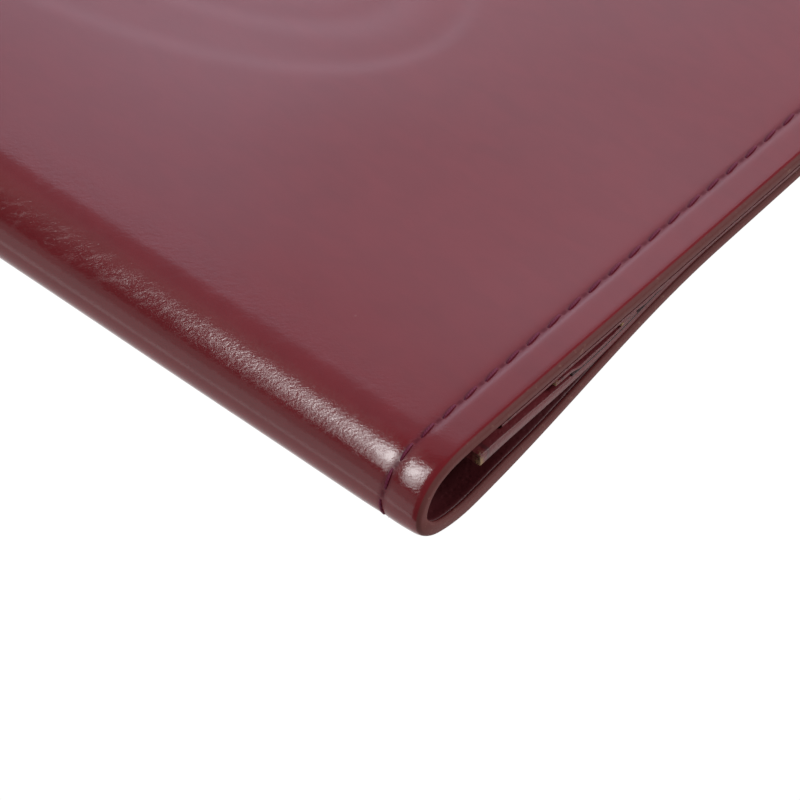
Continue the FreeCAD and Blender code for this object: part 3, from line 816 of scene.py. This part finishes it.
def plain_weave(c):
    """Plain weave, 0.45 mm to a thread: two sets of rounded threads that pass over each other."""
    p = Paint("plain_weave")
    axes = [p.node("ShaderNodeSeparateXYZ", {}, {0: p.place}, output=k) for k in (0, 1)]
    beat = 2 * math.pi / WEAVE_PITCH
    warp, weft = ((a * beat).wave() for a in axes)
    over = warp * weft * 0.5 + 0.5
    ribs = (axes[0] * (2 * beat)).wave() * over + (axes[1] * (2 * beat)).wave() * (1.0 - over)
    fuzz = p.noise(3.0, 3.0)
    colour = p.mix((over * 0.5 + fuzz * 0.5).clamp(), c.cloth * 0.45, c.cloth)
    normal = p.bump(ribs * 0.5 + fuzz * 0.3, 0.05)
    return p.finish(p.shader(colour, 0.78 + fuzz * 0.15, normal, Sheen_Weight=0.25, Sheen_Roughness=0.5))


def pressed_board(c):
    """Pressed fibre board: matted short fibres."""
    p = Paint("pressed_board")
    fibres = p.noise(0.9, 5.0, 0.7, 1.5)
    specks = p.cells(0.6).ease(0.12, 0.05)
    colour = p.mix(fibres.ease(0.3, 0.7), c.board * 0.65, c.board)
    colour = p.mix(specks * 0.4, colour, BOARD_SPECK)
    return p.finish(p.shader(colour, 0.82 + fibres * 0.12, p.bump(fibres, 0.05)))


def waxed_thread(c):
    """Waxed twisted thread: slanting plies, and painted shade where it dives into its holes."""
    p = Paint("waxed_thread")
    dive = p.mark("stitch").size()
    axes = [p.node("ShaderNodeSeparateXYZ", {}, {0: p.place}, output=k) for k in (0, 1, 2)]
    plies = ((axes[0] + axes[1] * 1.4 + axes[2]) * (2 * math.pi / PLY_PITCH)).wave() * 0.5 + 0.5
    fuzz = p.noise(4.0, 3.0)
    colour = p.mix((plies * 0.5 + fuzz * 0.5).clamp(), c.thread * 0.75, c.thread)
    # Painted shade where the thread dives into its holes.
    colour = p.mix(dive.ease(0.6, 1.0) * 0.45, colour, THREAD_DIVE_SHADE)
    return p.finish(p.shader(colour, 0.48 + fuzz * 0.2, p.bump(plies, 0.02), Specular_IOR_Level=0.2))


def white_floor(c):
    """A pale floor that glows evenly, as a lit sweep does, with a very faint grain."""
    p = Paint("white_floor")
    grain = p.noise(0.01, 2.0)
    colour = p.mix(grain * 0.02, c.floor, FLOOR_SHADE)
    return p.finish(p.node("ShaderNodeEmission", {}, {"Color": colour, "Strength": 1.02}))


def material(name):
    """The material of that name, made the first time it is asked for."""
    found = bpy.data.materials.get(name)
    if found:
        return found
    if name == "polished_calf":
        z = sizes()
        return polished_calf(colours(), z, Face(z))
    makers = (satin_lining, grained_calf, plain_weave, pressed_board, waxed_thread, white_floor)
    return {maker.__name__: maker for maker in makers}[name](colours())


# ---- operators ---------------------------------------------------------------------------------------


class BuildCover(bpy.types.Operator):
    """Polished cover in three skins: back half, fold and front half"""

    bl_idname = "wallet.build_cover"
    bl_label = "Cover"

    def execute(self, context):
        z = sizes()
        face, leather = Face(z), material("polished_calf")
        back, front = (half_lines(face, half, EDGE_STEPS, 0.3, 0.6, step)
                       for half, step in ((BACK, 1.7), (FRONT, 0.95)))
        for name, half, lines, step, nodes in (
                ("cover_back", BACK, back, 1.6, ("back_cover_leather",)),
                ("cover_fold", FOLD, fold_lines(face, 0.12), 0.8,
                 ("lower_spine_leather", "upper_spine_leather")),
                ("cover_front", FRONT, front, 0.8, ("front_cover_leather",))):
            skin = cover_skin(face, z, name, lines, half, step)
            dress(skin, leather, nodes=nodes)
            join_over(face, skin, half, z.cover)
        return {"FINISHED"}


class BuildLining(bpy.types.Operator):
    """Lining leather in three skins, and the boards between it and the cover"""

    bl_idname = "wallet.build_lining"
    bl_label = "Lining"

    def execute(self, context):
        z = sizes()
        face, leather = Face(z), material("satin_lining")
        back, front = (half_lines(face, half, COARSE_STEPS, 0.5, 1.0, 2.2, RIM_OVERLAP)
                       for half in (BACK, FRONT))
        for name, half, lines, nodes in (
                ("lining_back", BACK, back, ("back_lining",)),
                ("lining_front", FRONT, front, ("front_lining",)),
                ("lining_fold", FOLD, fold_lines(face, 0.3), ("lower_spine_lining", "upper_spine_lining"))):
            skin = lining_skin(face, z, name, lines, half)
            dress(skin, leather, nodes=nodes)
            join_over(face, skin, half, z.cover + z.lining)
        for name in ("back_stiffener", "front_stiffener"):
            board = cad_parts[name]
            board.data.materials.clear()
            board.data.materials.append(material("pressed_board"))
        return {"FINISHED"}


class BuildSeams(bpy.types.Operator):
    """Seam thread round both halves and over the ends of the fold"""

    bl_idname = "wallet.build_seams"
    bl_label = "Seams"

    def execute(self, context):
        z = sizes()
        face, thread = Face(z), material("waxed_thread")
        side = HALF_LENGTH - z.seam_inset
        back = half_runs(face, z, BACK, lambda f: -card_top(f) - gape_of(z, side, f))
        front = half_runs(face, z, FRONT, lambda f: -front_top(f))
        fold = [(np.array([-side, side]), np.zeros(2), 0, 1, -z.groove, 1.0)]
        for name, half, runs, nodes in (
                ("seam_back", BACK, back, ("back_seam_thread",)),
                ("seam_front", FRONT, front, ("front_seam_thread",)),
                ("seam_fold", FOLD, fold, ("lower_spine_thread", "upper_spine_thread"))):
            seam = new_stitches(face, z, name, runs)
            dress(seam, thread, nodes=nodes)
            join_over(face, seam, half, z.cover)
        return {"FINISHED"}


class BuildBackPockets(bpy.types.Operator):
    """Note pocket and the four rows of card pockets in the back half"""

    bl_idname = "wallet.build_back_pockets"
    bl_label = "Back pockets"

    def execute(self, context):
        z = sizes()
        face, leather, cloth = Face(z), material("grained_calf"), material("plain_weave")
        end = DEPTH - z.panel_trim

        def opened(depth):
            """A layer's depth as a function of the place, from its depth where nothing gapes."""
            return lambda x, f: depth + gape_of(z, x, f)

        def hemmed(x, f):
            """Outer depth of the note panel: thicker in its hems, past the ends of the cloth."""
            gape = gape_of(z, x, f)
            hem = (0.5 + 0.17 * gape) * ease(np.abs(x), HALF_LENGTH - HEM - 0.2, HALF_LENGTH - HEM + 0.2)
            return CLOTH_IN + GLUE + gape - hem

        note = panel(face, z, "note_panel", BACK, NOTE_MOUTH, end, hemmed, opened(PANEL_IN), crease=CREASE)
        dress(note, leather, "back_half", ("note_pocket_panel",))
        behind = panel(face, z, "note_cloth", BACK, NOTE_MOUTH, end - HEM, opened(CLOTH_OUT),
                       opened(CLOTH_IN), HALF_LENGTH - z.panel_trim - HEM, 0)
        dress(behind, cloth, "back_half", ("note_pocket_lining",))
        card_end = DEPTH - CARD_END
        backing = panel(face, z, "card_cloth", BACK, CARD_MOUTHS[0] + CARD_LAP, card_end,
                        opened(PANEL_IN + GLUE), opened(CARD_BASE), None, 0)
        dress(backing, cloth, "back_half", ("card_pocket_backing",))
        for row, mouth in enumerate(CARD_MOUTHS, start=1):
            last = row == len(CARD_MOUTHS)
            row_end = card_end if last else mouth + CARD_LAP + CARD_STEP - CARD_CLEAR
            strip = panel(face, z, f"card_row_{row}", BACK, mouth, row_end,
                          lambda x, f: card_depth(f, mouth, CARD_BASE + GLUE, LAP_BASE) + gape_of(z, x, f),
                          lambda x, f: card_depth(f, mouth, CARD_TOP, LAP_TOP) + gape_of(z, x, f), None, 0,
                          step=1.2 if last else 0.5, crease=CREASE)
            dress(strip, leather, "back_half", (f"card_pocket_{row}",))
        places = stitch_places(CARD_MOUTHS[0] + 0.6, DEPTH - z.seam_inset - 1, z.pitch)
        height = -card_top(places) - gape_of(z, 0.0, places)
        divider = new_stitches(face, z, "divider_thread",
                               [(0 * places, face.along(BACK, places), 0, 1, height, -1.0)])
        dress(divider, material("waxed_thread"), "back_half", ("card_divider_thread",))
        return {"FINISHED"}


class BuildFrontPockets(bpy.types.Operator):
    """Large pocket and short receipt pocket in the front half"""

    bl_idname = "wallet.build_front_pockets"
    bl_label = "Front pockets"

    def execute(self, context):
        z = sizes()
        face, leather, cloth = Face(z), material("grained_calf"), material("plain_weave")
        end = DEPTH - z.panel_trim

        def level(depth):
            """A depth that is the same all over, as a function of the place."""
            return lambda x, f: depth + 0 * f

        large = panel(face, z, "front_panel", FRONT, FRONT_MOUTH, end, level(CLOTH_IN + GLUE),
                      level(PANEL_IN), crease=CREASE, shelter=9.0)
        dress(large, leather, "front_half", ("front_pocket_panel",))
        behind = panel(face, z, "front_cloth", FRONT, FRONT_MOUTH, end - HEM, level(CLOTH_OUT),
                       level(CLOTH_IN), HALF_LENGTH - z.panel_trim - HEM, 0)
        dress(behind, cloth, "front_half", ("front_pocket_lining",))
        receipt = panel(face, z, "receipt_panel", FRONT, RECEIPT_MOUTH, end, level(PANEL_IN + GLUE),
                        level(PANEL_IN + RECEIPT), crease=0.08)
        dress(receipt, leather, "front_half", ("receipt_pocket",))
        return {"FINISHED"}


COOL, WHITE, BLUE = (0.93, 0.88, 1.04), (1.0, 1.0, 1.0), (0.75, 1.0, 1.3)
LIGHT_TARGET, LIGHT_DISTANCE = Vector((0.07, -0.02, 0.0)), 1.2
WALL, LOW_WALL = (-0.75, -0.05), (-0.75, -0.10)
FLOOR_SIDE, FLOOR_DROP, FLOOR_THICK = 3.0, 0.0002, 0.01
SOFTBOXES = (
    ("wall_low", (8, 46), WALL, 2.15, COOL),
    ("wall_middle", (46, 50.5), WALL, 1.8, COOL),
    ("wall_high", (50.5, 53.5), WALL, 1.4, COOL),
    ("wall_top", (53.5, 58), WALL, 0.9, COOL),
    ("wall_fade", (58, 76), WALL, 0.42, COOL),
    ("wall_far", (40, 57), (-0.66, -0.49), 0.6, BLUE),
    ("strip_far", (74, 92), (-0.75, -0.48), 0.42, WHITE),
    ("strip_near", (76, 96), (-0.48, -0.41), 0.7, WHITE),
    ("window", (91, 105), (-0.415, -0.27), 17.0, WHITE),
    ("window_sill", (105, 116), (-0.40, -0.27), 7.0, WHITE),
    ("front_high", (124, 140), LOW_WALL, 0.5, WHITE),
    ("front", (140, 168), LOW_WALL, 1.0, WHITE),
    ("front_low", (168, 181), LOW_WALL, 1.6, WHITE),
    ("rear_fill", (20, 62), (0.25, 0.82), 7.0, WHITE),
)


class StudioSettings(bpy.types.PropertyGroup):
    azimuth: FloatProperty(name="Azimuth", description="Camera angle round the wallet, in degrees",
                           default=40.8)
    elevation: FloatProperty(name="Elevation", description="Camera angle above the floor, in degrees",
                             default=49.0)
    distance: FloatProperty(name="Distance", description="Camera to the point it looks at", default=0.385,
                            unit="LENGTH")
    lens: FloatProperty(name="Lens", description="Focal length in millimetres", default=180.0)
    aim: FloatVectorProperty(name="Aim", description="Point that the camera looks at",
                             default=(0.0841, -0.0376, 0.0041), subtype="XYZ", precision=5)
    fill: FloatProperty(name="World", description="Strength of the even world light", default=0.10)


def softbox(name, turn, reach, radiance, tint):
    """A rectangular light that faces the wallet's corner, with two sides along the fold. turn is its
    lower and upper edge in degrees from the horizon on the open side over the zenith; reach is the X of
    the directions to its other two sides. Its power follows from its radiance."""
    low, high = (math.radians(v) for v in turn)
    middle, x = (low + high) / 2, sum(reach) / 2
    share = math.sqrt(1 - x * x)
    away = Vector((x, share * math.cos(middle), share * math.sin(middle)))
    across = (Vector((1, 0, 0)) - away * away.x).normalized()
    width = LIGHT_DISTANCE * (reach[1] - reach[0]) / share
    height = LIGHT_DISTANCE * share * (high - low)
    light = bpy.data.lights.new(name, "AREA")
    light.shape, light.size, light.size_y = "RECTANGLE", width, height
    light.energy = radiance * math.pi * width * height
    light.color = tint
    holder = bpy.data.objects.new(name, light)
    bpy.context.scene.collection.objects.link(holder)
    holder.location = LIGHT_TARGET + away * LIGHT_DISTANCE
    holder.rotation_mode = "QUATERNION"
    holder.rotation_quaternion = Matrix((across, away.cross(across), away)).transposed().to_quaternion()
    holder.visible_camera = False


class BuildStage(bpy.types.Operator):
    """Pale floor, soft studio lights and the camera"""

    bl_idname = "wallet.build_stage"
    bl_label = "Stage"

    def execute(self, context):
        scene, studio = context.scene, context.scene.wallet_studio
        side = np.array([-FLOOR_SIDE, FLOOR_SIDE])
        x, y = np.meshgrid(side, side, indexing="ij")
        top = np.stack([x, y, 0 * x - FLOOR_DROP], -1)
        floor = new_sheet("floor", top, top - np.array([0, 0, FLOOR_THICK]))
        floor.data.materials.append(material("white_floor"))

        world = bpy.data.worlds.new("Studio")
        world.use_nodes = True
        background = world.node_tree.nodes["Background"]
        background.inputs["Color"].default_value = (1, 1, 1, 1)
        background.inputs["Strength"].default_value = studio.fill
        scene.world = world
        for name, turn, reach, radiance, tint in SOFTBOXES:
            softbox(name, turn, reach, radiance, tint)

        camera = bpy.data.objects.new("camera", bpy.data.cameras.new("camera"))
        scene.collection.objects.link(camera)
        a, e = math.radians(studio.azimuth), math.radians(studio.elevation)
        away = Vector((math.sin(a) * math.cos(e), -math.cos(a) * math.cos(e), math.sin(e)))
        camera.location = Vector(studio.aim) + away * studio.distance
        camera.rotation_mode = "QUATERNION"
        camera.rotation_quaternion = away.to_track_quat("Z", "Y")
        camera.data.lens, camera.data.sensor_width = studio.lens, 36.0
        camera.data.clip_start, camera.data.clip_end = 0.01, 20.0
        scene.camera = camera
        scene.view_settings.view_transform = "Standard"
        return {"FINISHED"}


class WalletPanel(bpy.types.Panel):
    bl_idname = "VIEW3D_PT_wallet"
    bl_label = "Long wallet"
    bl_space_type = "VIEW_3D"
    bl_region_type = "UI"
    bl_category = "Wallet"

    def draw(self, context):
        for operator in OPERATORS:
            self.layout.operator(operator.bl_idname)
        for name in GROUPS:
            group, box = getattr(context.scene, name), self.layout.box()
            for value in type(group).__annotations__:
                box.prop(group, value)


OPERATORS = (BuildStage, BuildCover, BuildLining, BuildSeams, BuildBackPockets, BuildFrontPockets)
GROUPS = {"wallet_sizes": WalletSizes, "wallet_colours": WalletColours, "wallet_studio": StudioSettings}


def register():
    for cls in (*GROUPS.values(), *OPERATORS, WalletPanel):
        bpy.utils.register_class(cls)
    for name, group in GROUPS.items():
        setattr(bpy.types.Scene, name, PointerProperty(type=group))


def unregister():
    for name in GROUPS:
        delattr(bpy.types.Scene, name)
    for cls in (WalletPanel, *OPERATORS, *GROUPS.values()):
        bpy.utils.unregister_class(cls)


def main():
    """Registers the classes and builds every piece."""
    register()
    for operator in OPERATORS:
        group, name = operator.bl_idname.split(".")
        getattr(getattr(bpy.ops, group), name)()


if __name__ == "__main__":
    main()
